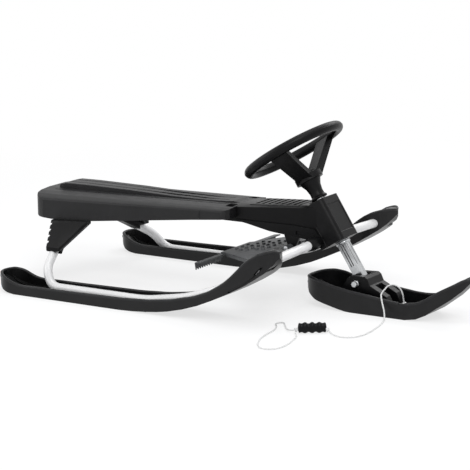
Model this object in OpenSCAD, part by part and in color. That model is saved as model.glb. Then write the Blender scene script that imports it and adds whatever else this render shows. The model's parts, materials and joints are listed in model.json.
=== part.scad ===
// Steerable ski sled: two rear skis on a bent tube frame, seat, console, steering head,
// wheel, column, one front ski, foot brake and tow cord. Millimetres.
// X forward, Y to the left, Z up, Z=0 is the ground.

/* [Rear skis] */
// Width of a rear ski
ski_w = 92; // [86:1:98]
// Distance of a rear ski from the middle plane
ski_y = 260; // [256:1:266]
// Thickness of the side rails of a ski
ski_wall = 6; // [4:0.5:8]
// Thickness of the sole of a ski
ski_sole = 5; // [4:0.5:6]

/* [Tube frame] */
// Outer diameter of the frame tubes
tube_d = 22; // [19:0.5:23]
// Distance of the tubes from the middle plane
tube_y = 250; // [247:1:253]
// Distance of the tube ends from the middle plane
tube_end_y = 42.3; // [42.3:0.5:60]

/* [Seat] */
// Half width of the seat at the rear
seat_hw_rear = 112; // [104:1:120]
// Half width of the seat at the front
seat_hw_front = 96; // [88:1:104]
// Length of the seat
seat_l = 578; // [560:1:585]
// Height of the crown of the seat over its side edge
seat_crown = 12; // [8:1:16]
// Half width of the raised strip of the seat
pad_hw = 36; // [30:1:42]
// Thickness of the seat shell at the sides
seat_wall = 6; // [4:0.5:9]

/* [Console] */
// Half width of the console at the seat
console_hw = 58; // [54:1:62]
// Wall of the console
console_wall = 4; // [3:0.5:6]

/* [Steering] */
// Rake of the steering axis from upright
rake = 32.5; // [30:0.5:35]
// Outer radius of the wheel
wheel_r = 131; // [120:1:136]
// Thickness of the wheel rim
rim_d = 24; // [22:1:30]
// Distance of the wheel plane from the foot of the column
wheel_t = 340; // [325:1:345]
// Diameter of the column where it turns in the head
column_d = 22; // [18:1:24]
// Width of the square foot of the column
foot_w = 23; // [20:0.5:24]
// Radial play of the column in the head
play = 0.05; // [0.02:0.01:0.09]
// Half width of the steering head
head_hw = 42; // [40:0.5:42]
// Width of a spoke of the wheel
spoke_w = 44; // [36:1:60]

/* [Front ski] */
// Width of the front ski
fski_w = 122; // [114:1:128]
// Diameter of the cross bolt
bolt_d = 8; // [7:0.5:12]

/* [Brake] */
// Thickness of the brake plate
plate_t = 3; // [2:0.5:4]
// Half width of the brake bar at the rear
claw_y = 182; // [170:1:190]
// Length of the claws
claw_l = 15; // [10:1:24]
// Diameter of the hinge pin of the brake
pin_d = 8; // [6:0.5:10]

/* [Tow cord] */
// Diameter of the tow cord
cord_d = 3.5; // [3:0.1:3.9]

/* [Hidden] */
$fn = 48;
ax_x = 297;             // foot of the steering axis
ax_z = 76;
bolt_x = 304;           // cross bolt of the front ski
bolt_z = 65;
hinge_x = 139;          // hinge line of the brake
hinge_z = 141;
seat_front = -14;
seat_rear = seat_front - seat_l;
slot_hw = foot_w/2 + 5.5;

// Rear ski: sole line from the rear tip to the front tip, then the top line back.
sole_line = [[-566,40],[-562,30],[-554,19],[-541,9],[-524,3],[-504,0],[-190,0],[-150,1.5],[-112,4.5],
    [-80,8],[-50,13],[-9,23],[34,37],[76,55],[118,75],[159,97],[190,116],[216,134],[232,149],[241,163]];
top_line = [[246,172],[244,180],[236,185],[221,183],[200,176],[180,165],[160,149],[135,123],[111,101],[68,74],
    [26,57],[-42,41],[-100,33],[-181,28],[-360,25],[-478,24],[-500,27],[-518,33],[-538,42],[-554,47],[-566,47]];
function raised(p, h) = [for (q = p) [q[0], q[1] + h]];
function part_of(p, a, b) = [for (i = [a:b]) p[i]];
function back(p) = [for (i = [len(p)-1:-1:0]) p[i]];
function arc(cx, r, n = 16) = [for (i = [0:n]) [cx - r*sin(180*i/n), -r*cos(180*i/n)]];

// Frame tube, right side, from the fin down to the ski, forward and up into the head.
tube_z = ski_sole + tube_d/2 + 0.2;
tube_path = soft([[-497,-90,140],[-456,-tube_y + 18,56],[-430,-tube_y,tube_z],[-150,-tube_y,tube_z + 0.5],
    [-32,-tube_y,tube_z + 20],[58,-tube_y,tube_z + 50],[160,-tube_y,tube_z + 102],[205,-tube_y,151],
    [205,-tube_end_y,157]], [0,24,26,30,30,26,18,30,0], 5);

function unit(v) = v/norm(v);
// Path with its corners eased over the stated lengths, n points a corner.
function soft(p, d, n) = [for (i = [0:len(p)-1]) each (i == 0 || i == len(p)-1 || d[i] == 0) ? [p[i]] :
    let(a = p[i] + unit(p[i-1] - p[i])*d[i], b = p[i] + unit(p[i+1] - p[i])*d[i])
    [for (k = [0:n-1]) let(t = k/(n-1)) a*(1-t)*(1-t) + p[i]*2*t*(1-t) + b*t*t]];
function tang(p, i) = i == 0 ? unit(p[1] - p[0]) : i == len(p)-1 ? unit(p[i] - p[i-1]) :
    unit(unit(p[i+1] - p[i]) + unit(p[i] - p[i-1]));
function rings(p, r, s, up, i = 0, acc = []) = i == len(p) ? acc :
    let(t = tang(p, i), n = unit(up - t*(up*t)), b = cross(t, n))
    rings(p, r, s, n, i + 1, concat(acc, [for (k = [0:s-1]) p[i] + r*(cos(360*k/s)*n + sin(360*k/s)*b)]));
// Round tube of diameter d along path p, s sides.
module sweep(p, d, s = 20, up = [0,0,1]) polyhedron(rings(p, d/2, s, up), concat(
    [[for (k = [0:s-1]) k]], [[for (k = [s-1:-1:0]) (len(p)-1)*s + k]],
    [for (i = [0:len(p)-2], k = [0:s-1]) each let(k1 = (k+1)%s)
        [[i*s+k,(i+1)*s+k,(i+1)*s+k1],[i*s+k,(i+1)*s+k1,i*s+k1]]]), convexity = 8);

module rod(a, b, d) {
    v = b - a;
    l = norm(v);
    translate(a) rotate([0, acos(v[2]/l), atan2(v[1], v[0])]) cylinder(h = l, d = d);
}

module side(w) rotate([90,0,0]) linear_extrude(w, center = true) children();
module both() { children(); mirror([0,1,0]) children(); }

// Local frame of the steering axis: Z along the axis, X forward and up.
module on_axis(t = 0) translate([ax_x, 0, ax_z]) rotate([0, -rake, 0]) translate([0,0,t]) children();

// Plan of the ski, w half width, outer side at -Y; the front end slants back to the inner side.
module ski_plan(w, g) polygon(concat(back(arc(-566 + ski_w/2, w)), [[200-g,-w],[226-g,-w+6],
    [240-g,-w+15],[245-g,-w+24+g/2],[242-g,-w+34],[232-g,w-36],[218-g,w-20],[200-g,w-7],[182-g,w]]));

module ski_right() color("#1b1b1c") difference() {
    union() {
        translate([0,-ski_y,0]) difference() {
            intersection() {
                side(ski_w + 2) polygon(concat(sole_line, top_line));
                linear_extrude(200) ski_plan(ski_w/2, 0);
            }
            intersection() {
                side(ski_w) polygon(concat(raised(part_of(sole_line, 0, 17), ski_sole), [[222,230],[-600,230],[-600,60]]));
                linear_extrude(240) ski_plan(ski_w/2 - ski_wall, 28);
            }
            // groove with a short slot in the outer wall, and the stepped nose
            translate([0,-ski_w/2,0]) side(7) polygon([[118,80],[156,101],[184,121],[204,140],[214,151],[217,146],
                [206,134],[186,115],[158,95],[120,76]]);
            translate([0,-ski_w/2 + 4,0]) side(16) polygon([[192,127],[206,140],[213,148],[207,147],[197,138],[188,128]]);
            translate([0,-ski_w/2 + 14,0]) side(44) polygon([[219,110],[219,141],[225,145],[233,151],[244,160],[262,166],[262,110]]);
        }
        // ribs on the sole of the upturned tail and cradles for the tube
        for (y = [-20,0,20]) translate([0,y - ski_y,0]) side(5) polygon(concat(
            raised(part_of(sole_line, 1, 5), ski_sole - 1), [[-478,ski_sole],[-482,ski_sole + 3]],
            back(raised(part_of(sole_line, 1, 5), ski_sole + 4))));
        for (x = [-330,-130]) translate([x,-ski_y,ski_sole/2]) linear_extrude(tube_d*0.4 + ski_sole/2)
            square([30, ski_w - 2*ski_wall + 2], center = true);
    }
    sweep(tube_path, tube_d + 0.5, 20, [0,1,0]);
}

module ski_left() mirror([0,1,0]) ski_right();
module tube_right() color("#e8e8e8") sweep(tube_path, tube_d, 20, [0,1,0]);
module tube_left() mirror([0,1,0]) tube_right();

// Underside of the seat, rising to the front.
seat_low = [[-600,162],[-575,153],[-530,150],[-408,156],[-298,168],[-119,187],[-14,197]];

// Fin: the sloping socket plate between seat rim and tube, with a notched rear edge.
module fin_right() color("#202021") difference() {
    union() {
        hull() {
            translate([-524,-117,149]) cube([110,15,9]);
            translate([-484,-196,92]) cube([38,12,8]);
        }
        hull() {
            rod([-503,-98,137],[-485,-98,137], tube_d + 8);
            rod([-482,-180,90],[-456,-180,90], tube_d + 6);
            translate([-484,-196,92]) cube([30,4,8]);
        }
    }
    sweep(tube_path, tube_d + 0.5, 20, [0,1,0]);
    side(600) polygon(concat(seat_low, [[-14,300],[-600,300]]));
    translate([-600,-230,0]) cube([200,60,89]);
    for (k = [0.16,0.36,0.56,0.76]) translate([-524 + 40*k, -109 - 82*k, 152 - 57*k]) cube([14,60,5.5], center = true);
    // two long grooves on the outer face
    for (k = [0.34,0.52]) translate([-484 + 10*k, -116 - 84*k - 1, 152 - 57*k]) rotate([40,0,0]) cube([34,3,4], center = true);
}
module fin_left() mirror([0,1,0]) fin_right();

module seat_plan(inset = 0) {
    r = seat_hw_rear - inset;
    f = seat_hw_front - inset;
    x0 = seat_rear + inset;
    x1 = seat_front - inset;
    polygon([[x0,-r+42],[x0+3,-r+26],[x0+11,-r+13],[x0+23,-r+4],[x0+40,-r],
        [x1-22,-f],[x1-9,-f+4],[x1-2,-f+12],[x1,-f+24],
        [x1,f-24],[x1-2,f-12],[x1-9,f-4],[x1-22,f],
        [x0+40,r],[x0+23,r-4],[x0+11,r-13],[x0+3,r-26],[x0,r-42]]);
}

// Cross section of the seat, edge height e and crown c over half width w.
module seat_section(w, e, c) polygon([[-w,140],[w,140],[w,e-7],[w-2,e-2],[w-6,e],[w*0.8,e+c*0.45],[w*0.6,e+c*0.78],
    [w*0.3,e+c],[-w*0.3,e+c],[-w*0.6,e+c*0.78],[-w*0.8,e+c*0.45],[-w+6,e],[-w+2,e-2],[-w,e-7]]);
module seat_solid() intersection() {
    translate([0,0,140]) linear_extrude(110) seat_plan();
    side(300) polygon(concat(seat_low, [[-14,260],[-600,260]]));
    hull() {
        translate([seat_rear,0,0]) rotate([90,0,90]) linear_extrude(1)
            seat_section(seat_hw_rear, 203, seat_crown);
        translate([seat_front - 1,0,0]) rotate([90,0,90]) linear_extrude(1)
            seat_section(seat_hw_front, 219, 7);
    }
}

module seat() color("#2c2c2e") difference() {
    seat_solid();
    translate([0,0,130]) linear_extrude(66) seat_plan(seat_wall);
    pad_block();
    // long grooves beside the strip, and two slots at the joint with the console
    both() translate([0,0,210]) linear_extrude(40) polygon([[-560,-pad_hw-14],[-40,-pad_hw-10],[-40,-pad_hw-13],[-560,-pad_hw-17]]);
    both() translate([-40,-66,214]) cube([22,26,20]);
}

// Raised centre strip, set into the shell.
module pad_block() intersection() {
    side(200) polygon([[-568,208],[-566,216],[-556,225],[-538,229],[-480,230],[-340,229],[-220,226],[-120,226],
        [-60,228],[-40,229],[-26,226],[-24,222],[-24,208]]);
    translate([0,0,200]) linear_extrude(60) polygon([[-568,-pad_hw+16],[-560,-pad_hw+4],[-546,-pad_hw],[-60,-pad_hw+3],
        [-34,-pad_hw+8],[-24,-pad_hw+18],[-24,pad_hw-18],[-34,pad_hw-8],[-60,pad_hw-3],[-546,pad_hw],[-560,pad_hw-4],[-568,pad_hw-16]]);
}
module seat_pad() color("#343436") difference() {
    pad_block();
    for (y = [-14,14]) translate([-540,y-1.5,225.5]) cube([480,3,20]);
}

module console_plan(i = 0) polygon([[seat_front+i,-console_hw+i],[60,-console_hw+4+i],[165,-console_hw+11+i],
    [214-i,-console_hw+18+i],[214-i,console_hw-18-i],[165,console_hw-11-i],[60,console_hw-4-i],[seat_front+i,console_hw-i]]);

console_low = [[seat_front,191],[20,185],[80,172],[150,164],[178,161],[187,143],[214,147]];

// Crowned top of the console, rising to the steering head.
module console_crown() hull() {
    translate([seat_front - 1,0,0]) rotate([90,0,90]) linear_extrude(1)
        polygon([[-70,100],[70,100],[70,219],[56,223],[38,227],[-38,227],[-56,223],[-70,219]]);
    translate([216,0,0]) rotate([90,0,90]) linear_extrude(1)
        polygon([[-70,100],[70,100],[70,227],[50,232],[30,243],[-30,243],[-50,232],[-70,227]]);
}
module console_solid() intersection() {
    side(200) polygon(concat(console_low, [[214,260],[seat_front,260]]));
    union() {
        linear_extrude(300) console_plan();
        // the lower rail stands out from the side
        intersection() {
            linear_extrude(300) console_plan(-5);
            translate([-1,0,0]) side(200) polygon([[seat_front + 1,100],[seat_front + 1,193],[142,192],[196,187],[204,180],[215,150],[215,100]]);
        }
    }
    console_crown();
}

module head_block() on_axis(95) linear_extrude(108) rounded(-38, 28, head_hw, 13);
module rounded(x0, x1, hw, r) hull() {
    for (y = [-1,1]) translate([x1 - r, y*(hw - r)]) circle(r, $fn = 32);
    translate([x0,-hw]) square([2, 2*hw]);
}

module console() color("#1e1e1f") {
    difference() {
        console_solid();
        head_block();
        on_axis(60) cylinder(h = 190, r = 28);
        intersection() {
            linear_extrude(213) console_plan(console_wall + 6);
            translate([seat_front + 8,-100,0]) cube([160,200,300]);
        }
        deck_block();
        both() sweep(tube_path, tube_d + 0.5, 20, [0,1,0]);
        // recess in the lower rail
        both() translate([150,-console_hw - 1,170]) cube([34,9,9]);
    }
    // tongue under the seat
    side(96) polygon([[-60,184],[-60,192.6],[seat_front,197],[seat_front + 9,197],[seat_front + 9,184]]);
}

// Ribbed deck plate set into the top of the console.
module deck_block() intersection() {
    translate([16,-42,213]) cube([134,84,60]);
    translate([0,0,1]) console_crown();
}
module console_deck() color("#262627") difference() {
    deck_block();
    for (i = [0:6]) translate([30 + i*17.5,0,231.5 + i]) rotate([0,38,0]) cube([6,70,13], center = true);
}

module steering_head() color("#1a1a1b") difference() {
    head_block();
    on_axis(60) cylinder(h = 200, d = column_d + 2*play);
    // bare panel on the front face and joint lines on the sides
    on_axis(112) translate([26.5,-28,0]) cube([4,56,72]);
    both() on_axis(90) translate([-20,head_hw - 1.5,0]) cube([2.5,4,120]);
}

// Lugs under the console carrying the brake hinge.
module brake_mount() color("#1e1e1f") difference() {
    both() translate([0,-50.5,0]) side(7) polygon([[118,172 - 8*38/70],[hinge_x-9,hinge_z-4],[hinge_x-4,hinge_z-9],
        [hinge_x+4,hinge_z-9],[hinge_x+9,hinge_z-4],[160,164 - 3*10/28],[150,164]]);
    rod([hinge_x,-70,hinge_z],[hinge_x,70,hinge_z], pin_d + 0.1);
}

module column() color("#b9bcbf") {
    on_axis(93) cylinder(h = 115, d = column_d);
    difference() {
        union() {
            on_axis(20) translate([-foot_w/2,-foot_w/2,0]) cube([foot_w,foot_w,70]);
            on_axis(86) cylinder(h = 7, d1 = foot_w, d2 = 36);
            on_axis(-4) translate([-foot_w/2,-foot_w/2,0]) cube([foot_w,foot_w,26]);
            rod([bolt_x,-foot_w/2,bolt_z],[bolt_x,foot_w/2,bolt_z], 26);
        }
        rod([bolt_x,-60,bolt_z],[bolt_x,60,bolt_z], bolt_d);
    }
}

module pivot_bolt() color("#c8cacc") {
    rod([bolt_x,-42,bolt_z],[bolt_x,42,bolt_z], bolt_d);
    both() {
        rod([bolt_x,-39,bolt_z],[bolt_x,-37.2,bolt_z], bolt_d + 8);
        rod([bolt_x,-44.5,bolt_z],[bolt_x,-39,bolt_z], bolt_d + 5);
    }
}

module neck() color("#151516") difference() {
    on_axis() rotate_extrude() polygon([[0,208],[20,208],[21,212],[17,216],[16.5,226],[19,240],[25,252],
        [27,256],[0,256]]);
    on_axis(93) cylinder(h = 118, d = column_d);
}

// Dished wheel: rim, hub and two wide spokes.
module steering_wheel() color("#141415") {
    on_axis(wheel_t) rotate_extrude() translate([wheel_r - rim_d/2,0]) circle(d = rim_d);
    on_axis(256) cylinder(h = 15, r = 34);
    on_axis(270) cylinder(h = 6, r1 = 27, r2 = 22);
    for (a = [78,-78]) on_axis() rotate([0,0,a]) hull() {
        translate([8,-spoke_w/2 + 3,257]) cube([18,spoke_w - 6,11]);
        translate([wheel_r - rim_d - 4,-spoke_w/2,wheel_t - 12]) cube([12,spoke_w,12]);
    }
}

// Front ski: spoon tail, flat middle, long upturned nose.
fsole = [[161,58],[167,46],[180,32],[204,20],[236,11.5],[264,5],[286,1],[300,0],[445,0],[472,4],[494,14],[516,30],
    [550,54],[575,76],[592,96]];
ftop = [[592,103],[584,104],[563,92],[530,74],[502,58],[486,46],[460,38],[420,38],[380,42],[330,48],[290,52],
    [252,58],[222,66],[194,70],[172,69],[160,66]];
function nose(w) = [[445,-w],[480,-w+5],[520,-w+17],[555,-w+32],[578,-w+43],[592,-10],[592,10],[578,w-43],[555,w-32],
    [520,w-17],[480,w-5],[445,w]];

module front_ski() color("#19191a") {
    difference() {
        intersection() {
            side(fski_w + 2) polygon(concat(fsole, ftop));
            linear_extrude(200) polygon(concat(back(arc(161 + fski_w/2, fski_w/2)), nose(fski_w/2)));
        }
        // open tray between the side walls
        intersection() {
            side(fski_w) polygon(concat(raised(part_of(fsole, 0, 14), 6), [[600,160],[140,160],[140,70]]));
            linear_extrude(200) polygon(concat(back(arc(161 + fski_w/2, fski_w/2 - 6)), [for (q = nose(fski_w/2 - 6)) [q[0] - 8, q[1]]]));
        }
    }
    // ribs on the tail and along the tray
    for (y = [-26,0,26]) translate([0,y,0]) side(5) polygon(concat(raised(part_of(fsole, 1, 3), 5),
        [[226,19.2],[220,23.5]], back(raised(part_of(fsole, 1, 3), 10))));
    both() translate([0,-44,0]) side(6) polygon([[404,5.5],[404,15],[470,15],[486,20],[480,9],[470,9],[440,5.5]]);
    // eye of the tow cord
    translate([417,-8,5]) cylinder(h = 15, r1 = 9, r2 = 6);
}

module ski_saddle() color("#1d1d1e") difference() {
    side(2*(slot_hw + 18)) polygon([[236,17.6],[264,11.1],[286,7.1],[300,6],[398,6],[396,20],[384,42],[340,64],[333,79],[326,84],
        [288,82],[279,74],[262,44],[240,27]]);
    translate([262,-slot_hw,38]) cube([56,2*slot_hw,60]);
    translate([200,-slot_hw,52]) cube([100,2*slot_hw,60]);
    // hollow nose between the cheeks
    translate([344,-slot_hw + 2,14]) cube([60,2*slot_hw - 4,60]);
    rod([bolt_x,-60,bolt_z],[bolt_x,60,bolt_z], bolt_d + 0.1);
    both() translate([0,-slot_hw - 18,0]) side(5) polygon([[300,20],[330,20],[370,20],[372,34],[336,46],[300,40]]);
}

// Tow cord: hand-chosen points from the eye on the front ski over a hump to the floor,
// through the handle and round the free loop.
cord_r = cord_d/2;
cord_pts = [[417,-8,20.2],[416,-9,34],[413,-10,50],[406,-11,62],[394,-13,68],[382,-18,66],[376,-28,58],[376,-42,52],
    [382,-56,48],[392,-68,34],[402,-78,18],[409,-90,7],[415,-108,2],[422,-134,2],[428,-168,2],[432,-204,2],[430,-240,2],
    [416,-264,2],[392,-270,2],[366,-260,4]];
hand_pts = [[344,-246,8.5],[292,-282,8.5]];
loop_pts = [[274,-284,5],[252,-268,2],[232,-242,2],[216,-226,2],[208,-238,2],[222,-262,2],[234,-292,2],[238,-326,2],[244,-360,2],
    [256,-394,2],[274,-426,2],[296,-442,2],[316,-436,2],[326,-412,2],[325,-384,2],[318,-350,2],[308,-318,2],[294,-298,4]];
function lift(p) = [for (q = p) [q[0], q[1], max(q[2], cord_r + 0.1)]];
function mid(a, b, c, d, t) = 0.5*(2*b + (c - a)*t + (2*a - 5*b + 4*c - d)*t*t + (3*b - a - 3*c + d)*t*t*t);
function smooth(p, n) = [for (i = [0:len(p)-2], k = [0:n-1]) mid(p[max(i-1,0)], p[i], p[i+1],
    p[min(i+2,len(p)-1)], k/n), p[len(p)-1]];
cord_path = smooth(lift(concat(cord_pts, hand_pts, loop_pts)), 2);

module tow_cord() color("#f0f0f0") sweep(cord_path, cord_d, 8);

// Handle with finger grooves, lying on the ground.
module tow_handle() color("#171717") difference() {
    v = [-52,-36]/norm([52,36]);
    translate([344,-246,0]) rotate([0,0,atan2(v[1], v[0])]) difference() {
        union() {
            translate([0,0,8.5]) rotate([0,90,0]) cylinder(h = 62, d = 17);
            for (x = [8,24,40,55]) translate([x,0,8.5]) rotate([0,90,0]) translate([2,0,0]) cylinder(h = 7, d = 20, center = true);
        }
        translate([-10,-30,-20]) cube([100,60,20]);
    }
    sweep(cord_path, cord_d + 0.4, 8);
}

module brake_frame() translate([hinge_x,0,hinge_z]) rotate([0,-8.5,0]) children();

// Wide trapezoid plate between the tubes, with pressed treads and knuckles round the pin.
module brake_plate() color("#8d9092") {
    brake_frame() translate([0,0,-pin_d/2 - plate_t]) linear_extrude(plate_t) difference() {
        polygon([[-196,-66],[-182,-70],[-30,-196],[-12,-200],[0,-200],[0,200],[-12,200],[-30,196],[-182,70],[-196,66]]);
        both() translate([-26,-58]) square([46,15]);
        translate([-58,0]) circle(d = 9);
        both() translate([-58,-70]) circle(d = 7);
    }
    difference() {
        both() {
            rod([hinge_x,-42,hinge_z],[hinge_x,-20,hinge_z], pin_d + 6);
            rod([hinge_x,-82,hinge_z],[hinge_x,-60,hinge_z], pin_d + 6);
        }
        rod([hinge_x,-90,hinge_z],[hinge_x,90,hinge_z], pin_d);
    }
    brake_frame() for (i = [0:4], j = [-2:2]) if (abs(j) < 2 || i > 0)
        translate([-172 + i*23, j*26 + (i%2)*8 - 4, -pin_d/2 - 1]) cylinder(h = 4.5, d1 = 12, d2 = 7);
    // folded side edges
    brake_frame() both() hull() {
        translate([-175,-77,-pin_d/2 - plate_t - 6]) cube([2,2,8]);
        translate([-34,-193.6,-pin_d/2 - plate_t - 6]) cube([2,2,8]);
    }
}

// Toothed bars: a flat bar along the rear edge, its rear flange bent down and cut into teeth.
module brake_claws() color("#84878a") brake_frame() both() {
    translate([-196,-claw_y,-pin_d/2 - 2*plate_t]) cube([18,claw_y - 44,plate_t]);
    translate([-196 + plate_t,0,-pin_d/2 - 2*plate_t]) rotate([90,0,-90]) linear_extrude(plate_t)
        polygon(concat([[66,1],[claw_y,1]], [for (i = [0:11]) each let(y = claw_y - i*(claw_y - 66)/12)
            [[y,-claw_l],[y - 5,-claw_l*0.55]]], [[66,-claw_l*0.5]]));
}
module brake_pin() color("#b0b3b6")
    rod([hinge_x,-80,hinge_z],[hinge_x,80,hinge_z], pin_d);

ski_right();
ski_left();
tube_right();
tube_left();
fin_right();
fin_left();
seat();
seat_pad();
console();
console_deck();
steering_head();
brake_mount();
column();
pivot_bolt();
neck();
steering_wheel();
front_ski();
ski_saddle();
tow_cord();
tow_handle();
brake_plate();
brake_claws();
brake_pin();
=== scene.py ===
import bmesh
import bpy
import json
import math
from mathutils import Matrix, Vector


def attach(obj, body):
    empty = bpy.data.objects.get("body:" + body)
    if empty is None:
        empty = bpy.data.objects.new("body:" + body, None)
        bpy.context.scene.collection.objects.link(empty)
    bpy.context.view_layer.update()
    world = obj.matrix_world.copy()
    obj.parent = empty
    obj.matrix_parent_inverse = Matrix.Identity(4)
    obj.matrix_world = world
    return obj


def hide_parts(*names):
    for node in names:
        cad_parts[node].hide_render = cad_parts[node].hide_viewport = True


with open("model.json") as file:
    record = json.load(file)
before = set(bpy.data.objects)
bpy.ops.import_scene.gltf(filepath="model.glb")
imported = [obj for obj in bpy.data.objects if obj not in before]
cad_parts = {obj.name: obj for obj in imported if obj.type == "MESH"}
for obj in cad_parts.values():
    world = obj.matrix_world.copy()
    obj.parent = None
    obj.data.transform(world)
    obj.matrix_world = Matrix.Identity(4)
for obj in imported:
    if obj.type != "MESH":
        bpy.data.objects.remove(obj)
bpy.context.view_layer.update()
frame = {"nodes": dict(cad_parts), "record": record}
scene = bpy.context.scene

# ---------------------------------------------------------------- camera
AZ, EL, ROLL = math.radians(31.979), math.radians(12.144), math.radians(-0.622)
DIST, LENS_PX, PX, PY, SIZE = 5.3476, 2205.0, 256.8, 232.75, 470.0
back = Vector((math.sin(AZ) * math.cos(EL), -math.cos(AZ) * math.cos(EL), math.sin(EL)))
right = Vector((math.cos(AZ), math.sin(AZ), 0.0))
up = back.cross(right).normalized()
cam_x = right * math.cos(ROLL) + up * math.sin(ROLL)
cam_y = up * math.cos(ROLL) - right * math.sin(ROLL)
place = Vector((0.008, 0.0, 0.15)) + back * DIST
cam_data = bpy.data.cameras.new("camera")
cam_data.sensor_width = 36.0
cam_data.lens = LENS_PX * 36.0 / SIZE
cam_data.shift_x = (SIZE / 2 - PX) / SIZE
cam_data.shift_y = (PY - SIZE / 2) / SIZE
camera = bpy.data.objects.new("camera", cam_data)
scene.collection.objects.link(camera)
m = Matrix.Identity(4)
for i in range(3):
    m[i][0], m[i][1], m[i][2], m[i][3] = cam_x[i], cam_y[i], back[i], place[i]
camera.matrix_world = m
scene.camera = camera


# ---------------------------------------------------------------- materials
class Nodes:
    """Small helper round one material's node tree."""

    def __init__(self, name):
        self.mat = bpy.data.materials.new(name)
        self.mat.use_nodes = True
        self.tree = self.mat.node_tree
        self.bsdf = self.tree.nodes["Principled BSDF"]

    def add(self, kind, **inputs):
        n = self.tree.nodes.new(kind)
        for key, value in inputs.items():
            if key in n.bl_rna.properties and not key.startswith("i_"):
                setattr(n, key, value)
            else:
                n.inputs[key[2:].replace("_", " ") if key.startswith("i_") else key].default_value = value
        return n

    def link(self, a, b):
        self.tree.links.new(a, b)

    def coord(self):
        return self.add("ShaderNodeTexCoord").outputs["Object"]

    def noise(self, scale, detail=4.0, rough=0.55, vec=None, stretch=None):
        n = self.add("ShaderNodeTexNoise")
        n.inputs["Scale"].default_value = scale
        n.inputs["Detail"].default_value = detail
        n.inputs["Roughness"].default_value = rough
        src = vec or self.coord()
        if stretch:
            mp = self.add("ShaderNodeMapping")
            mp.inputs["Scale"].default_value = stretch
            self.link(src, mp.inputs["Vector"])
            src = mp.outputs["Vector"]
        self.link(src, n.inputs["Vector"])
        return n.outputs["Fac"]

    def ramp(self, fac, stops):
        r = self.add("ShaderNodeValToRGB")
        els = r.color_ramp.elements
        while len(els) < len(stops):
            els.new(0.5)
        for el, (pos, col) in zip(els, stops):
            el.position = pos
            el.color = col if len(col) == 4 else (*col, 1.0)
        self.link(fac, r.inputs["Fac"])
        return r.outputs["Color"]

    def remap(self, fac, a, b):
        r = self.add("ShaderNodeMapRange")
        r.inputs["To Min"].default_value = a
        r.inputs["To Max"].default_value = b
        self.link(fac, r.inputs["Value"])
        return r.outputs["Result"]

    def mix(self, fac, a, b):
        n = self.add("ShaderNodeMix")
        n.data_type = "RGBA"
        if isinstance(fac, float):
            n.inputs["Factor"].default_value = fac
        else:
            self.link(fac, n.inputs["Factor"])
        for sock, v in ((n.inputs[6], a), (n.inputs[7], b)):
            if isinstance(v, tuple):
                sock.default_value = (*v, 1.0)
            else:
                self.link(v, sock)
        return n.outputs[2]

    def bump(self, height, strength, distance, normal=None):
        b = self.add("ShaderNodeBump")
        b.inputs["Strength"].default_value = strength
        b.inputs["Distance"].default_value = distance
        self.link(height, b.inputs["Height"])
        if normal is not None:
            self.link(normal, b.inputs["Normal"])
        return b.outputs["Normal"]


def plastic(name, low, high, rough, grain, grain_strength, wear=0.0, sheen=0.25):
    """Moulded plastic: slow colour drift, fine grain, faint scuffs and paler worn edges."""
    n = Nodes(name)
    slow = n.noise(9.0, 3.0)
    col = n.ramp(slow, [(0.3, low), (0.7, high)])
    if wear > 0:
        geo = n.add("ShaderNodeNewGeometry")
        edge = n.ramp(geo.outputs["Pointiness"], [(0.52, (0, 0, 0)), (0.6, (1, 1, 1))])
        patch = n.ramp(n.noise(38.0, 5.0), [(0.4, (0, 0, 0)), (0.66, (wear, wear, wear))])
        both = n.mix(edge, (0.0, 0.0, 0.0), patch)
        col = n.mix(both, col, tuple(min(1.0, c * 3.2 + 0.03) for c in high))
    n.link(col, n.bsdf.inputs["Base Color"])
    scuff = n.noise(26.0, 6.0, 0.65, stretch=(1.0, 3.5, 1.4))
    n.link(n.remap(scuff, rough - 0.07, rough + 0.09), n.bsdf.inputs["Roughness"])
    n.bsdf.inputs["Specular IOR Level"].default_value = sheen
    fine = n.noise(grain, 2.0, 0.5)
    nrm = n.bump(fine, grain_strength, 0.0004)
    nrm = n.bump(n.noise(30.0, 2.0), 0.06, 0.002, nrm)
    n.link(nrm, n.bsdf.inputs["Normal"])
    return n.mat


def paint(name, low, high):
    """Powder coat over steel: slight orange peel and a clear gloss."""
    n = Nodes(name)
    n.link(n.ramp(n.noise(7.0, 2.0), [(0.3, low), (0.7, high)]), n.bsdf.inputs["Base Color"])
    n.link(n.remap(n.noise(60.0, 3.0), 0.24, 0.34), n.bsdf.inputs["Roughness"])
    n.bsdf.inputs["Coat Weight"].default_value = 0.35
    n.bsdf.inputs["Coat Roughness"].default_value = 0.12
    n.link(n.bump(n.noise(420.0, 2.0), 0.08, 0.0003), n.bsdf.inputs["Normal"])
    return n.mat


def zinc(name, low, high, rough, metal=0.85, spangle=55.0):
    """Zinc-plated sheet: soft spangle, drawn streaks and a dull sheen."""
    n = Nodes(name)
    vor = n.add("ShaderNodeTexVoronoi")
    vor.inputs["Scale"].default_value = spangle
    n.link(n.coord(), vor.inputs["Vector"])
    cell = n.ramp(vor.outputs["Color"], [(0.2, low), (0.8, high)])
    streak = n.ramp(n.noise(40.0, 5.0, stretch=(1.0, 9.0, 1.0)), [(0.35, low), (0.75, high)])
    n.link(n.mix(0.55, cell, streak), n.bsdf.inputs["Base Color"])
    n.bsdf.inputs["Metallic"].default_value = metal
    n.link(n.remap(n.noise(70.0, 5.0), rough - 0.08, rough + 0.1), n.bsdf.inputs["Roughness"])
    n.link(n.bump(n.noise(260.0, 3.0), 0.12, 0.0003), n.bsdf.inputs["Normal"])
    return n.mat


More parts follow.
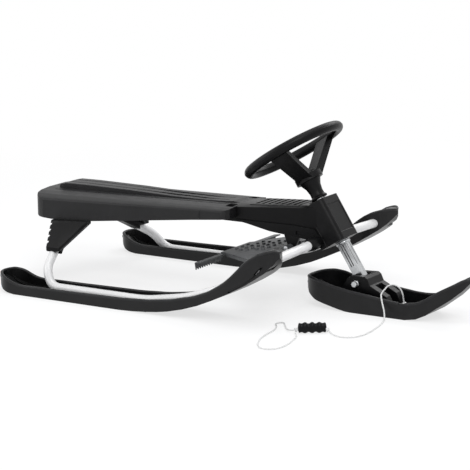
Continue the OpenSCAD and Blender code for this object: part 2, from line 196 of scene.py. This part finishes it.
def braid(name, low, high):
    """Braided cord: crossed diagonal strands, with painted shade darkening the gaps between them."""
    n = Nodes(name)
    tex = n.add("ShaderNodeTexVoronoi")
    tex.inputs["Scale"].default_value = 900.0
    n.link(n.coord(), tex.inputs["Vector"])
    # lighter strand centres and darker gaps: painted shade between the strands
    n.link(n.ramp(tex.outputs["Distance"], [(0.0, high), (0.8, low)]), n.bsdf.inputs["Base Color"])
    n.bsdf.inputs["Roughness"].default_value = 0.8
    n.bsdf.inputs["Sheen Weight"].default_value = 0.25
    n.link(n.bump(tex.outputs["Distance"], 0.5, 0.0006), n.bsdf.inputs["Normal"])
    return n.mat


MATS = {
    "black_plastic": plastic("black_plastic", (0.0022, 0.0022, 0.0024), (0.0042, 0.0042, 0.0046), 0.36, 700.0, 0.2, 0.2, 0.14),
    "ski_plastic": plastic("ski_plastic", (0.0028, 0.0028, 0.003), (0.0055, 0.0055, 0.006), 0.33, 600.0, 0.14, 0.25, 0.27),
    # the ski lips: a paler copy of the ski plastic, a painted highlight along the rim of each ski
    "painted_highlight_lip_plastic": plastic("painted_highlight_lip_plastic", (0.006, 0.006, 0.0065), (0.011, 0.011, 0.012), 0.4, 600.0, 0.2, 0.3, 0.27),
    "seat_plastic": plastic("seat_plastic", (0.0058, 0.0058, 0.0063), (0.0095, 0.0095, 0.0102), 0.46, 520.0, 0.5, 0.2, 0.29),
    "deck_plastic": plastic("deck_plastic", (0.0046, 0.0046, 0.005), (0.008, 0.008, 0.0087), 0.42, 600.0, 0.4, 0.2),
    "wheel_plastic": plastic("wheel_plastic", (0.0018, 0.0018, 0.002), (0.0036, 0.0036, 0.004), 0.38, 800.0, 0.3, 0.1, 0.14),
    "grip_plastic": plastic("grip_plastic", (0.0025, 0.0025, 0.0028), (0.005, 0.005, 0.0055), 0.55, 1500.0, 0.9, 0.0),
    "white_tube": paint("white_tube", (0.72, 0.72, 0.715), (0.8, 0.8, 0.795)),
    "zinc_steel": zinc("zinc_steel", (0.36, 0.37, 0.38), (0.6, 0.61, 0.62), 0.2, 0.97),
    # near-black steel for the column's grooves and flutes: painted shade along them
    "painted_shade_steel": zinc("painted_shade_steel", (0.03, 0.03, 0.032), (0.06, 0.06, 0.063), 0.35, 0.6),
    "bolt_steel": zinc("bolt_steel", (0.45, 0.46, 0.47), (0.62, 0.63, 0.64), 0.32, 0.9, 90.0),
    "brake_steel": zinc("brake_steel", (0.04, 0.042, 0.045), (0.085, 0.088, 0.092), 0.52, 0.3, 45.0),
    "white_cord": braid("white_cord", (0.6, 0.6, 0.59), (0.84, 0.84, 0.83)),
}


def dress(ob, name):
    if not ob.material_slots:
        ob.data.materials.append(None)
    for s in ob.material_slots:
        s.link = "OBJECT"
        s.material = MATS[name]


LOOK = {"ski_right": "ski_plastic", "ski_left": "ski_plastic", "front_ski": "ski_plastic"}
slots = {s["node"]: s["material_slot"] for s in frame["record"]["subparts"]}
for name, ob in frame["nodes"].items():
    dress(ob, LOOK.get(name, slots[name]))


def curve_piece(name, points, diameter, body, mat, cyclic=False, bezier=False, radii=None):
    cu = bpy.data.curves.new(name, "CURVE")
    cu.dimensions = "3D"
    cu.bevel_depth = 1.0  # the points' radius carries the size, so that the bounds are right
    cu.bevel_resolution = 6
    cu.use_fill_caps = True
    if bezier:
        cu.resolution_u = 6
        sp = cu.splines.new("BEZIER")
        sp.bezier_points.add(len(points) - 1)
        for bp, p in zip(sp.bezier_points, points):
            bp.co = p
            bp.radius = diameter / 2
            bp.handle_left_type = bp.handle_right_type = "AUTO"
    else:
        sp = cu.splines.new("POLY")
        sp.points.add(len(points) - 1)
        for pt, p in zip(sp.points, points):
            pt.co = (*p, 1.0)
            pt.radius = diameter / 2
    sp.use_cyclic_u = cyclic
    ob = bpy.data.objects.new(name, cu)
    scene.collection.objects.link(ob)
    ob.data.materials.append(MATS[mat])
    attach(ob, body)
    return ob


# ---------------------------------------------------------------- helpers for the pieces
def mesh_piece(name, verts, faces, body, mat, bevel=0.0, sharp=32.0):
    me = bpy.data.meshes.new(name)
    me.from_pydata([tuple(v) for v in verts], [], faces)
    me.validate()
    ob = bpy.data.objects.new(name, me)
    scene.collection.objects.link(ob)
    ob.data.materials.append(MATS[mat])
    ease(ob, bevel, sharp)
    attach(ob, body)
    return ob


def ease(ob, width, sharp=32.0):
    """Smooth shading up to an angle, and a small rounding of the edges over it."""
    me = ob.data
    me.polygons.foreach_set("use_smooth", [True] * len(me.polygons))
    me.set_sharp_from_angle(angle=math.radians(sharp))
    if width > 0:
        b = ob.modifiers.new("round", "BEVEL")
        b.width = width
        b.segments = 2
        b.limit_method = "ANGLE"
        b.angle_limit = math.radians(sharp)
        b.use_clamp_overlap = True
        b.miter_outer = "MITER_ARC"
        w = ob.modifiers.new("normals", "WEIGHTED_NORMAL")
        w.keep_sharp = True


def weld(ob, distance=0.00002):
    bm = bmesh.new()
    bm.from_mesh(ob.data)
    bmesh.ops.remove_doubles(bm, verts=bm.verts, dist=distance)
    bmesh.ops.dissolve_limit(bm, angle_limit=math.radians(0.6), verts=bm.verts, edges=bm.edges)
    bm.to_mesh(ob.data)
    bm.free()


def soft_path(points, cuts, n):
    """Corners eased by a quadratic curve between points at the given distance from each."""
    out = []
    for i, (q, d) in enumerate(zip(points, cuts)):
        q = Vector(q)
        if i in (0, len(points) - 1) or d == 0:
            out.append(q)
            continue
        a = q + (Vector(points[i - 1]) - q).normalized() * d
        b = q + (Vector(points[i + 1]) - q).normalized() * d
        for k in range(n):
            t = k / (n - 1)
            out.append(a * (1 - t) ** 2 + q * (2 * t * (1 - t)) + b * t * t)
    return out


def lathe(profile, sides=48):
    """Surface turned about local Z from (radius, height) points; closed at both ends."""
    verts, faces = [], []
    for r, z in profile:
        for k in range(sides):
            a = 2 * math.pi * k / sides
            verts.append(Vector((r * math.cos(a), r * math.sin(a), z)))
    for i in range(len(profile) - 1):
        for k in range(sides):
            k1 = (k + 1) % sides
            faces.append((i * sides + k, i * sides + k1, (i + 1) * sides + k1, (i + 1) * sides + k))
    faces.append(tuple(reversed(range(sides))))
    faces.append(tuple((len(profile) - 1) * sides + k for k in range(sides)))
    return verts, faces


def turned(verts, origin, axis, right_hint=Vector((0, 1, 0))):
    """Local Z along axis, local X at right angles to it."""
    z = Vector(axis).normalized()
    x = Vector(right_hint).cross(z)
    if x.length < 1e-6:
        x = Vector((1, 0, 0))
    x.normalize()
    y = z.cross(x)
    return [Vector(origin) + x * v[0] + y * v[1] + z * v[2] for v in verts]


def line_at(points, x):
    """Height of a piecewise line at x."""
    for (x0, z0), (x1, z1) in zip(points, points[1:]):
        if min(x0, x1) <= x <= max(x0, x1) and x0 != x1:
            return z0 + (z1 - z0) * (x - x0) / (x1 - x0)
    return points[-1][1] if x > points[-1][0] else points[0][1]


RAKE = math.radians(32.5)
AXIS = Vector((-math.sin(RAKE), 0, math.cos(RAKE)))
AXIS_FOOT = Vector((0.297, 0, 0.076))


def on_axis(x, y, t):
    """Point in millimetres of the steering frame: x forward and up, y left, t along the axis."""
    return AXIS_FOOT + Vector((math.cos(RAKE), 0, math.sin(RAKE))) * (x / 1000) + Vector((0, y / 1000, 0)) \
        + AXIS * (t / 1000)


# ---------------------------------------------------------------- CAD nodes: rounded edges
ROUND = {"ski_right": 0.0012, "ski_left": 0.0012, "front_ski": 0.0012, "seat": 0.0035, "seat_pad": 0.003,
         "console": 0.0016, "console_deck": 0.001, "steering_head": 0.0022, "brake_mount": 0.0008,
         "fin_right": 0.001, "fin_left": 0.001, "ski_saddle": 0.0016, "steering_wheel": 0.0016, "neck": 0.0008,
         "column": 0.0005, "brake_plate": 0.0006, "brake_claws": 0.0004, "brake_pin": 0.0006,
         "pivot_bolt": 0.0006}
BODY = {n: b for b, names in frame["record"]["behaviour"]["bodies"].items() for n in names}
forms = {}
for name, width in ROUND.items():
    src = frame["nodes"][name]
    ob = bpy.data.objects.new(name + "_form", src.data.copy())
    scene.collection.objects.link(ob)
    ob.matrix_world = src.matrix_world.copy()
    ob.data.materials.clear()
    ob.data.materials.append(MATS[LOOK.get(name, slots[name])])
    weld(ob)
    ease(ob, width, 28.0)
    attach(ob, BODY[name])
    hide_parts(name)
    forms[name] = ob

# ---------------------------------------------------------------- frame tubes
TUBE_D, TUBE_Z = 0.022, 16.2
TUBE = [(-497, -90, 140), (-456, -232, 56), (-430, -250, TUBE_Z), (-150, -250, TUBE_Z + 0.5),
        (-32, -250, TUBE_Z + 20), (58, -250, TUBE_Z + 50), (160, -250, TUBE_Z + 102), (205, -250, 151),
        (205, -42.3, 157)]
tube_line = soft_path(TUBE, [0, 24, 26, 30, 30, 26, 18, 30, 0], 14)
for side, sign in (("right", 1), ("left", -1)):
    pts = [(q[0] / 1000, sign * q[1] / 1000, q[2] / 1000) for q in tube_line]
    tube = curve_piece("frame_tube_" + side, pts, TUBE_D, "frame", "white_tube")
    tube.data.bevel_resolution = 10
    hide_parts("tube_" + side)

# ---------------------------------------------------------------- ski lips
TOP = [(-566, 47), (-554, 47), (-538, 42), (-518, 33), (-500, 27), (-478, 24), (-360, 25), (-181, 28),
       (-100, 33), (-42, 41), (26, 57), (68, 74), (111, 101), (135, 123), (160, 149), (180, 165), (200, 176),
       (221, 183), (236, 185), (244, 180)]
FRONT_TOP = [(160, 66), (172, 69), (194, 70), (222, 66), (252, 58), (290, 52), (330, 48), (380, 42), (420, 38),
             (460, 38), (486, 46), (502, 58), (530, 74), (563, 92), (584, 104), (592, 103)]


def lip(name, outline, tops, body, diameter=0.0074):
    pts = [Vector((x / 1000, y / 1000, line_at(tops, x) / 1000 - 0.0012)) for x, y in outline]
    # the lip is drawn in the paler lip plastic: a painted highlight along the ski's rim
    ob = curve_piece(name, [tuple(q) for q in pts], diameter, body, "painted_highlight_lip_plastic", bezier=True)
    ob.data.bevel_resolution = 4
    ob.data.resolution_u = 3
    return ob


def spaced(a, b, n):
    return [(a[0] + (b[0] - a[0]) * k / n, a[1] + (b[1] - a[1]) * k / n) for k in range(1, n)]


W = 46 - 3
tail = [(-520 - W * math.sin(math.pi * k / 14), -W * math.cos(math.pi * k / 14)) for k in range(15)]
outer = list(reversed(spaced(tail[0], (186, -W), 34)))
inner = spaced(tail[-1], (180, W), 34)
nose = [(200, -W), (222, -W + 3), (236, -W + 12), (241, -W + 22), (238, -W + 36), (229, W - 34), (215, W - 20),
        (198, W - 8)]
ski_outline = nose[::-1][-1:] + outer + tail + inner + nose[::-1]
for side, sign in (("right", 1), ("left", -1)):
    ring = [(x, sign * (y - 260)) for x, y in ski_outline]
    lip("ski_lip_" + side, ring, TOP, "frame")

WF = 61 - 3
ftail = [(222 - WF * math.sin(math.pi * k / 14), -WF * math.cos(math.pi * k / 14)) for k in range(15)]
fnose = [(445, -WF), (480, -WF + 5), (520, -WF + 17), (555, -WF + 32), (577, -WF + 43), (588.5, -9), (588.5, 9),
         (577, WF - 43), (555, WF - 32), (520, WF - 17), (480, WF - 5), (445, WF)]
f_outline = list(reversed(spaced(ftail[0], fnose[0], 14))) + ftail + spaced(ftail[-1], fnose[-1], 14) \
    + fnose[::-1]
lip("front_ski_lip", f_outline, FRONT_TOP, "front_ski")

# ---------------------------------------------------------------- steering wheel trim
def ring_piece(name, radius, t, diameter, mat, n=96):
    pts = [tuple(on_axis(radius * math.cos(2 * math.pi * k / n), radius * math.sin(2 * math.pi * k / n), t))
           for k in range(n)]
    ob = curve_piece(name, pts, diameter, "steering", mat, cyclic=True)
    ob.data.bevel_resolution = 5
    return ob


ring_piece("wheel_seam_outer", 130.6, 340, 0.0018, "wheel_plastic")
ring_piece("wheel_seam_inner", 107.4, 340, 0.0018, "wheel_plastic")
for sign in (-1, 1):
    side = "right" if sign < 0 else "left"
    a = math.radians(78 * sign)
    dirx, diry = math.cos(a), math.sin(a)
    for off in (-19.5, 19.5):
        pts = []
        for r, t, w in ((30, 267.5, 0.9), (64, 297.8, 0.96), (98, 328, 1.0)):
            pts.append(tuple(on_axis(r * dirx - off * w * diry, r * diry + off * w * dirx, t + 1.2)))
        curve_piece("spoke_rib_%s_%d" % (side, 1 if off < 0 else 2), pts, 0.0042, "steering", "wheel_plastic")
v, f = lathe([(24, 274.0), (24, 276.5), (22.5, 278.2), (19, 279.4), (0.5, 280.0)], 48)
mesh_piece("wheel_cap", [on_axis(q[0], q[1], q[2]) for q in v], f, "steering", "wheel_plastic")

# ---------------------------------------------------------------- column
FLUTE_Y = 10.6  # millimetres: just under the column's side faces
# flutes and grooves drawn in near-black steel: painted shade along the column
for sign in (-1, 1):
    side = "right" if sign < 0 else "left"
    pts = [tuple(on_axis(FLUTE_Y, sign * 6.6, t)) for t in (28, 55, 84)]
    flute = curve_piece("column_flute_" + side, pts, 0.0026, "steering", "painted_shade_steel")
    for n, x in ((1, -3.6), (2, 2.6)):
        line = [tuple(on_axis(x, sign * FLUTE_Y, t)) for t in (28, 55, 84)]
        curve_piece("column_groove_%s_%d" % (side, n), line, 0.0034, "steering", "painted_shade_steel")
v, f = lathe([(11.2, 86.5), (17.5, 86.5), (18.2, 87.3), (18.2, 90.6), (17.4, 91.6), (11.2, 91.6)], 40)
mesh_piece("column_washer", [on_axis(q[0], q[1], q[2]) for q in v], f, "steering", "zinc_steel")


def hex_head(name, origin, axis, across, height, body, mat="bolt_steel"):
    """Hexagon head with a chamfered crown."""
    r = across / math.sqrt(3)
    verts = []
    for rad, z in ((r, 0), (r, height * 0.78), (r * 0.86, height), (r * 0.4, height * 1.02)):
        for k in range(6):
            verts.append(Vector((rad * math.cos(math.pi * k / 3), rad * math.sin(math.pi * k / 3), z)))
    faces = [(i * 6 + k, i * 6 + (k + 1) % 6, (i + 1) * 6 + (k + 1) % 6, (i + 1) * 6 + k)
             for i in range(3) for k in range(6)]
    faces += [tuple(reversed(range(6))), tuple(18 + k for k in range(6))]
    ob = mesh_piece(name, turned(verts, origin, axis), faces, body, mat, 0.0004)
    return ob


def round_head(name, origin, axis, radius, height, body, mat="bolt_steel", recess=True):
    """Domed screw or rivet head, with a hollow round recess where asked."""
    prof = [(radius, 0), (radius, height * 0.35), (radius * 0.9, height * 0.7), (radius * 0.6, height * 0.95),
            (radius * 0.34, height)]
    if recess:
        prof += [(radius * 0.3, height * 0.45)]
    v, f = lathe(prof, 24)
    return mesh_piece(name, turned(v, origin, axis), f, body, mat)


hex_head("bolt_hex_right", (0.304, -0.0436, 0.065), (0, -1, 0), 0.0135, 0.0046, "steering")
hex_head("bolt_nut_left", (0.304, 0.0436, 0.065), (0, 1, 0), 0.0135, 0.0055, "steering")

def boxes(name, items, body, mat, bevel=0.0006):
    """Several plain boxes as one piece; each item is its low and high corner in millimetres."""
    verts, faces = [], []
    for lo, hi in items:
        n = len(verts)
        verts += [Vector((x / 1000, y / 1000, z / 1000)) for z in (lo[2], hi[2]) for x, y in
                  ((lo[0], lo[1]), (hi[0], lo[1]), (hi[0], hi[1]), (lo[0], hi[1]))]
        faces += [(n + 3, n + 2, n + 1, n), (n + 4, n + 5, n + 6, n + 7), (n, n + 1, n + 5, n + 4),
                  (n + 1, n + 2, n + 6, n + 5), (n + 2, n + 3, n + 7, n + 6), (n + 3, n, n + 4, n + 7)]
    return mesh_piece(name, verts, faces, body, mat, bevel)


# ---------------------------------------------------------------- underside ribs of the seat
SEAT_LOW = [(-600, 162), (-575, 153), (-530, 150), (-408, 156), (-298, 168), (-119, 187), (-14, 197)]
ribs = []
for k in range(11):
    x = -560 + k * 48
    half = 105 - 16 * (x + 592) / 578
    z0 = line_at(SEAT_LOW, x) + 3
    if -505 < x < -480:
        continue
    ribs.append(((x - 1.5, -half, z0 + 12), (x + 1.5, half, 197)))
for y in (-70, -24, 24, 70):
    for k in range(10):
        x = -560 + k * 48
        z0 = line_at(SEAT_LOW, x) + 10
        ribs.append(((x, y - 1.2, max(z0, 176)), (x + 48, y + 1.2, 197)))
seat_ribs = boxes("seat_underside_ribs", ribs, "frame", "seat_plastic", 0.0)

# side seam and corner line of the seat shell
for sign in (-1, 1):
    side = "right" if sign < 0 else "left"
    half = 112 - 16 * 497 / 578
    seam = [(-95, sign * (half + 0.1), z) for z in (191, 198, 205, 211)] + [(-93, sign * (half - 3), 215.5)]
    pc = curve_piece("seat_seam_" + side, [(x / 1000, y / 1000, z / 1000) for x, y, z in seam], 0.0012, "frame",
                     "seat_plastic")

# ---------------------------------------------------------------- black sockets round the tubes at the head
for sign in (-1, 1):
    side = "right" if sign < 0 else "left"
    v, f = lathe([(11.2, 0), (15.4, 0), (16.2, 1.5), (16.2, 30), (15.2, 33), (14.2, 45), (12.8, 47), (11.2, 47)], 36)
    origin = Vector((0.205, sign * 0.0425, 0.157))
    axis = Vector((0, sign * 207.7, -6)).normalized()
    sock = mesh_piece("tube_socket_" + side, turned([q / 1000 for q in v], origin, axis, Vector((1, 0, 0))), f,
                      "frame", "black_plastic")

# ---------------------------------------------------------------- screws and rivets of the frame
for sign in (-1, 1):
    side = "right" if sign < 0 else "left"
    for k, x in enumerate((-330, -130)):
        for j, y in enumerate((232, 289)):
            round_head("ski_screw_%s_%d" % (side, 2 * k + j + 1), (x / 1000, sign * y / 1000, 0.0144), (0, 0, 1),
                       0.0042, 0.0026, "frame", "bolt_steel")
    round_head("hinge_rivet_" + side, (0.139, sign * 0.0795, 0.141), (0, sign, 0), 0.0062, 0.0034, "brake",
               "bolt_steel", False)

# ---------------------------------------------------------------- tow cord
CORD_D = 0.0035
FLOOR_Z = CORD_D / 2 + 0.0005
CORD = [(417, -8, 20.2), (416, -9, 34), (413, -10, 50), (406, -11, 62), (394, -13, 68), (382, -18, 66),
        (376, -28, 58), (376, -42, 52), (382, -56, 48), (392, -68, 34), (402, -78, 18), (409, -90, 7),
        (415, -108, 2), (422, -134, 2), (428, -168, 2), (432, -204, 2), (430, -240, 2), (416, -264, 2),
        (392, -270, 2), (366, -260, 4), (344, -246, 8.5), (292, -282, 8.5), (274, -284, 5), (252, -268, 2),
        (232, -242, 2), (216, -226, 2), (208, -238, 2), (222, -262, 2), (234, -292, 2), (238, -326, 2),
        (244, -360, 2), (256, -394, 2), (274, -426, 2), (296, -442, 2), (316, -436, 2), (326, -412, 2),
        (325, -384, 2), (318, -350, 2), (308, -318, 2), (294, -298, 4)]
cord_pts = [(x / 1000, y / 1000, max(z / 1000, FLOOR_Z)) for x, y, z in CORD]
cord = curve_piece("tow_cord_line", cord_pts, CORD_D, "front_ski", "white_cord", bezier=True)
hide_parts("tow_cord")

# moulded handle with finger grooves
h0, h1 = Vector((0.3448, -0.2454, 0.0085)), Vector((0.2912, -0.2826, 0.0085))
h_dir = (h1 - h0).normalized()
h_len = (h1 - h0).length
prof = []
for k in range(73):
    u = k / 72
    r = 8.1 + 1.3 * math.cos(2 * math.pi * 4 * u) * (0.35 + 0.65 * math.sin(math.pi * u))
    cap = min(1.0, math.sqrt(max(0.0, 1 - (1 - min(u, 1 - u) / 0.06) ** 2))) if min(u, 1 - u) < 0.06 else 1.0
    prof.append((max(2.2, r * cap) / 1000, u * h_len))
v, f = lathe(prof, 36)
v = turned(v, h0, h_dir, Vector((0, 0, 1)))
v = [Vector((q[0], q[1], max(0.0002, 0.0122 + (q[2] - 0.0085) * 1.42))) for q in v]
handle = mesh_piece("tow_handle_grip", v, f, "front_ski", "black_plastic")
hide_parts("tow_handle")


def knot(name, centre, axis, turns=2.6, radius=0.0034, pitch=0.0026):
    """A small wrapped knot of the cord round its own line."""
    n = 44
    local = []
    for k in range(n + 1):
        a = 2 * math.pi * turns * k / n
        local.append(Vector((radius * math.cos(a), radius * math.sin(a), pitch * turns * (k / n - 0.5))))
    pts = [tuple(Vector((q[0], q[1], max(q[2], FLOOR_Z)))) for q in turned(local, centre, axis, Vector((0, 0, 1)))]
    ob = curve_piece(name, pts, 0.003, "front_ski", "white_cord")
    return ob


knots = [knot("tow_knot_front", Vector(cord_pts[20]) + Vector((0.0052, -0.0033, -0.0008)), h_dir),
         knot("tow_knot_rear", Vector(cord_pts[21]) + Vector((-0.0055, -0.001, -0.0012)), h_dir),
         knot("tow_knot_ski", Vector(cord_pts[0]) + Vector((0, 0, 0.004)), (0, 0, 1), 2.2)]

# ---------------------------------------------------------------- floor, light
def seen_rays(tree):
    """1 for the rays that show the background: camera, glossy and transmission rays."""
    path = tree.nodes.new("ShaderNodeLightPath")
    both = tree.nodes.new("ShaderNodeMath")
    both.operation = "MAXIMUM"
    every = tree.nodes.new("ShaderNodeMath")
    every.operation = "MAXIMUM"
    tree.links.new(path.outputs["Is Camera Ray"], both.inputs[0])
    tree.links.new(path.outputs["Is Glossy Ray"], both.inputs[1])
    tree.links.new(both.outputs[0], every.inputs[0])
    tree.links.new(path.outputs["Is Transmission Ray"], every.inputs[1])
    return every.outputs[0]


floor_mesh = bpy.data.meshes.new("floor")
floor_mesh.from_pydata([(-9, -9, 0), (9, -9, 0), (9, 9, 0), (-9, 9, 0)], [], [(0, 1, 2, 3)])
floor = bpy.data.objects.new("floor", floor_mesh)
scene.collection.objects.link(floor)
floor.location.z = -0.0003
fm = Nodes("floor")
fm.bsdf.inputs["Roughness"].default_value = 0.9
fm.bsdf.inputs["Specular IOR Level"].default_value = 0.1
fm.bsdf.inputs["Base Color"].default_value = (0.9, 0.9, 0.9, 1)
# seen by the camera, the floor keeps its shadow near the sled and fades into the white far from it
white = fm.add("ShaderNodeEmission")
white.inputs["Strength"].default_value = 1.0
white.inputs["Color"].default_value = (1, 1, 1, 1)
place = fm.add("ShaderNodeTexCoord")
reach = fm.add("ShaderNodeVectorMath")
reach.operation = "LENGTH"
fm.link(place.outputs["Object"], reach.inputs[0])
fade = fm.add("ShaderNodeMapRange")
fade.inputs["From Min"].default_value = 0.8
fade.inputs["From Max"].default_value = 2.2
fade.inputs["To Min"].default_value = 0.7
fade.inputs["To Max"].default_value = 1.0
fm.link(reach.outputs["Value"], fade.inputs["Value"])
fac = fm.add("ShaderNodeMath")
fac.operation = "MULTIPLY"
fm.link(seen_rays(fm.tree), fac.inputs[0])
fm.link(fade.outputs["Result"], fac.inputs[1])
blend = fm.add("ShaderNodeMixShader")
fm.link(fac.outputs[0], blend.inputs["Fac"])
fm.link(fm.bsdf.outputs[0], blend.inputs[1])
fm.link(white.outputs[0], blend.inputs[2])
fm.link(blend.outputs[0], fm.tree.nodes["Material Output"].inputs["Surface"])
floor.data.materials.append(fm.mat)

world = bpy.data.worlds.new("studio")
scene.world = world
world.use_nodes = True
wt = world.node_tree
bg = wt.nodes["Background"]
bg.inputs["Color"].default_value = (0.95, 0.96, 1.0, 1)
bg.inputs["Strength"].default_value = 0.55
seen = wt.nodes.new("ShaderNodeBackground")
seen.inputs["Color"].default_value = (1, 1, 1, 1)
seen.inputs["Strength"].default_value = 1.0
wm = wt.nodes.new("ShaderNodeMixShader")
wt.links.new(seen_rays(wt), wm.inputs["Fac"])
wt.links.new(bg.outputs[0], wm.inputs[1])
wt.links.new(seen.outputs[0], wm.inputs[2])
wt.links.new(wm.outputs[0], wt.nodes["World Output"].inputs["Surface"])


def lamp(name, loc, size, power, target=(0, 0, 0.15)):
    data = bpy.data.lights.new(name, "AREA")
    data.shape = "RECTANGLE"
    data.size, data.size_y = size
    data.energy = power
    ob = bpy.data.objects.new(name, data)
    scene.collection.objects.link(ob)
    ob.location = loc
    ob.rotation_euler = (Vector(target) - Vector(loc)).to_track_quat("-Z", "Y").to_euler()
    return ob


lamp("key", (1.6, -2.2, 2.6), (1.8, 1.8), 55)
lamp("fill", (-2.6, -1.6, 1.6), (1.8, 1.8), 22)
lamp("rim", (0.4, 2.6, 2.4), (2.4, 1.2), 38)
lamp("top", (0.0, 0.0, 3.2), (2.6, 1.6), 26)

scene.view_settings.view_transform = "Standard"
